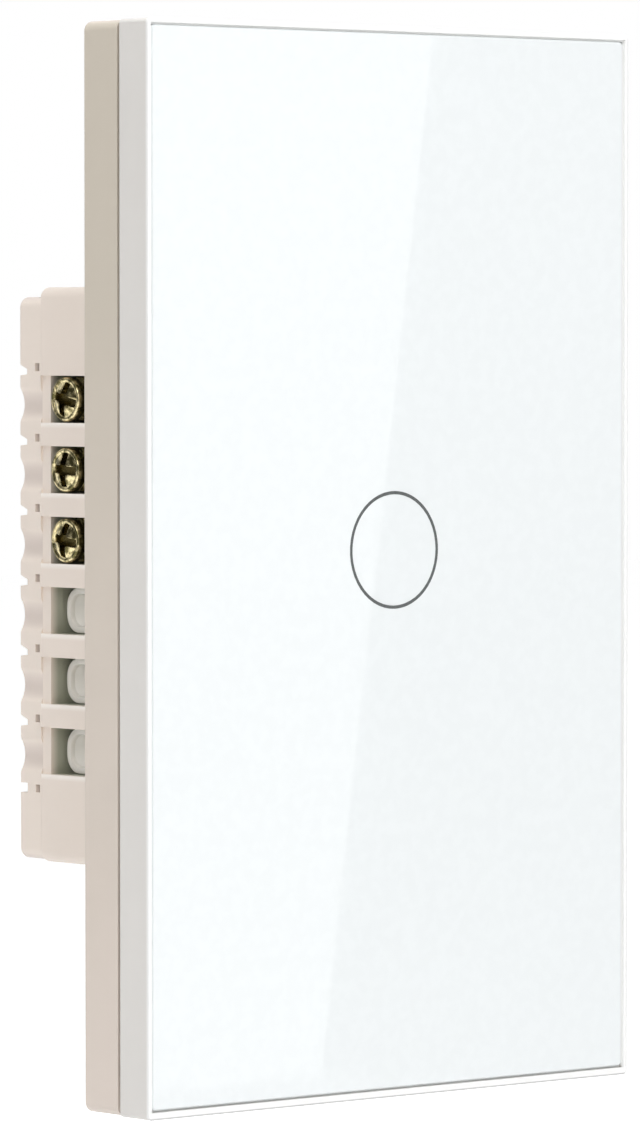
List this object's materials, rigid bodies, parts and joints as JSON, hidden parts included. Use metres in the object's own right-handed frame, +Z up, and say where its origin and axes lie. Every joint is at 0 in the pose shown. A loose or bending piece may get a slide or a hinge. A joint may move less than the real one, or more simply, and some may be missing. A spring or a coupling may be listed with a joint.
{
  "type": "smart light switch",
  "caption": "Wall-mounted touch light switch: upright glass panel with a small touch ring, slim framed base and a rear terminal housing with side screw terminals.",
  "frame": {"origin": "middle of the two box-screw slots, on the wall plane at the base's back face", "axes": "+X to the right seen from the front, +Y back into the wall, +Z up"},
  "size_m": [0.072, 0.0393, 0.12],
  "materials": {
    "frame_plastic": "fine satin, pale warm grey",
    "panel_glass": "white back-painted glass, polished",
    "ring_print": "grey print",
    "tape": "foam tape",
    "base_plastic": "moulded, ivory",
    "housing_plastic": "moulded, warm white",
    "brass": "machined",
    "plated_steel": "zinc plated",
    "board": "solder mask",
    "black_plastic": "moulded",
    "relay_plastic": "moulded",
    "coil_copper": "enamelled wire",
    "copper": "bare",
    "clear_plastic": "clear tube",
    "lamp": "lamp body",
    "chip": "moulded",
    "shield": "stamped",
    "yellow_plastic": "box capacitor",
    "can": "sleeved can",
    "varistor_blue": "dipped disc",
    "fuse_glass": "glass with end caps",
    "ferrite": "sintered",
    "winding_tape": "taped winding"
  },
  "bodies": {
    "base": {"base_frame": "base_plastic", "terminal_housing": "housing_plastic", "rear_cover": "housing_plastic", "rear_screws": "plated_steel", "touch_board": "board", "board_screws": "plated_steel", "touch_spring": "plated_steel", "light_guide": "clear_plastic", "indicator_lamps": "lamp", "touch_chip": "chip", "header_pins": "brass", "header_plug": "black_plastic", "header_socket": "black_plastic", "radio_board": "board", "radio_shield": "shield", "power_board": "board", "relay_base": "black_plastic", "relay_cover": "relay_plastic", "relay_coil": "coil_copper", "relay_yoke": "plated_steel", "relay_contacts": "copper", "filter_capacitor": "yellow_plastic", "bulk_capacitor": "can", "varistor": "varistor_blue", "fuse": "fuse_glass", "transformer_core": "ferrite", "transformer_winding": "winding_tape", "choke": "ferrite", "bridge_rectifier": "chip", "terminal_cage_1": "brass", "terminal_cage_2": "brass", "terminal_cage_3": "brass"},
    "panel": {"panel_frame": "frame_plastic", "glass_panel": "panel_glass", "touch_ring": "ring_print", "panel_tape": "tape"},
    "armature": {"relay_armature": "plated_steel"},
    "clamp_1": {"clamp_plate_1": "plated_steel"},
    "screw_1": {"terminal_screw_1": "brass"},
    "clamp_2": {"clamp_plate_2": "plated_steel"},
    "screw_2": {"terminal_screw_2": "brass"},
    "clamp_3": {"clamp_plate_3": "plated_steel"},
    "screw_3": {"terminal_screw_3": "brass"}
  },
  "joints": [
    {"name": "panel_pull", "type": "slide", "parent": "base", "child": "panel", "axis": [0, -1, 0], "range_m": [0, 0.015]},
    {"name": "clamp_1_slide", "type": "slide", "parent": "base", "child": "clamp_1", "axis": [1, 0, 0], "range_m": [0, 0.002]},
    {"name": "screw_1_turn", "type": "hinge", "parent": "clamp_1", "child": "screw_1", "pos_m": [-0.0195, 0.0195, 0.0183], "axis": [1, 0, 0], "range_deg": [0, 1440]},
    {"name": "clamp_2_slide", "type": "slide", "parent": "base", "child": "clamp_2", "axis": [1, 0, 0], "range_m": [0, 0.002]},
    {"name": "screw_2_turn", "type": "hinge", "parent": "clamp_2", "child": "screw_2", "pos_m": [-0.0195, 0.0195, 0.0103], "axis": [1, 0, 0], "range_deg": [0, 1440]},
    {"name": "clamp_3_slide", "type": "slide", "parent": "base", "child": "clamp_3", "axis": [1, 0, 0], "range_m": [0, 0.002]},
    {"name": "screw_3_turn", "type": "hinge", "parent": "clamp_3", "child": "screw_3", "pos_m": [-0.0195, 0.0195, 0.0023], "axis": [1, 0, 0], "range_deg": [0, 1440]},
    {"name": "armature_pivot", "type": "hinge", "parent": "base", "child": "armature", "pos_m": [0.0145, 0.02, 0.0163], "axis": [0, -1, 0], "range_deg": [0, 6], "stiffness_Nm_per_rad": 0.01, "springref_deg": -4.58}
  ],
  "couplings": [
    {"joint": "screw_1_turn", "follows": "clamp_1_slide", "rad_per_m": 12566},
    {"joint": "screw_2_turn", "follows": "clamp_2_slide", "rad_per_m": 12566},
    {"joint": "screw_3_turn", "follows": "clamp_3_slide", "rad_per_m": 12566}
  ]
}
